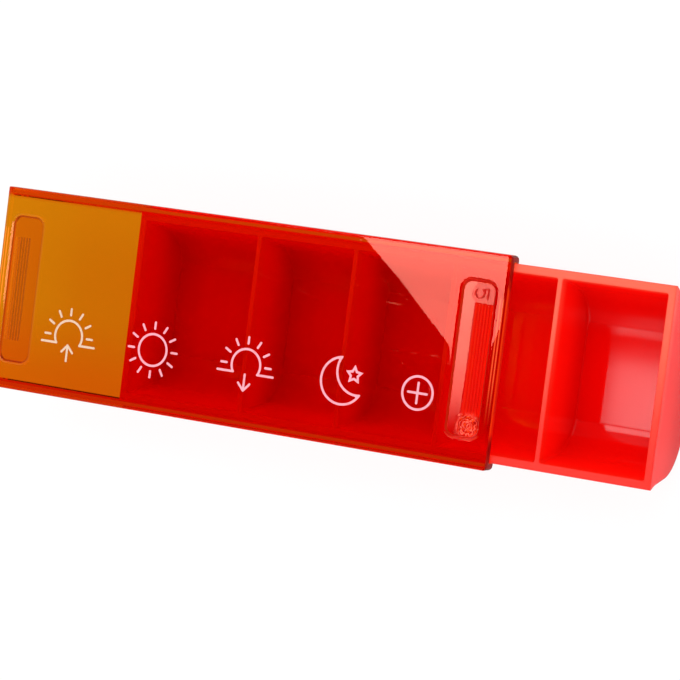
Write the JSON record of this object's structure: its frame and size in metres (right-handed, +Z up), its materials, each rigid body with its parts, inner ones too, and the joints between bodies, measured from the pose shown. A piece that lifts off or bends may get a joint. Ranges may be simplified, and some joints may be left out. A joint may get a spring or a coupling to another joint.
{
  "type": "daily pill organizer",
  "caption": "Slim pill box: a clear cover with printed day-time marks slides along the rim of a tray divided into compartments.",
  "frame": {"origin": "middle of the tray's flat bottom", "axes": "+X along the box towards the end that the half-open cover leaves free, +Y across it, away from the row of printed marks, +Z up out of the compartments"},
  "size_m": [0.155, 0.044, 0.0199],
  "materials": {
    "red_plastic": "gloss",
    "clear_orange_plastic": "polished",
    "white_ink": "satin"
  },
  "bodies": {
    "tray": {"tray": "red_plastic"},
    "slide_cover": {"slide_cover": "clear_orange_plastic", "sunrise_print": "white_ink", "sun_print": "white_ink", "sunset_print": "white_ink", "moon_star_print": "white_ink", "plus_print": "white_ink"}
  },
  "joints": [
    {"name": "cover_slide", "type": "slide", "parent": "tray", "child": "slide_cover", "axis": [1, 0, 0], "range_m": [-0.061, 0.129]}
  ]
}
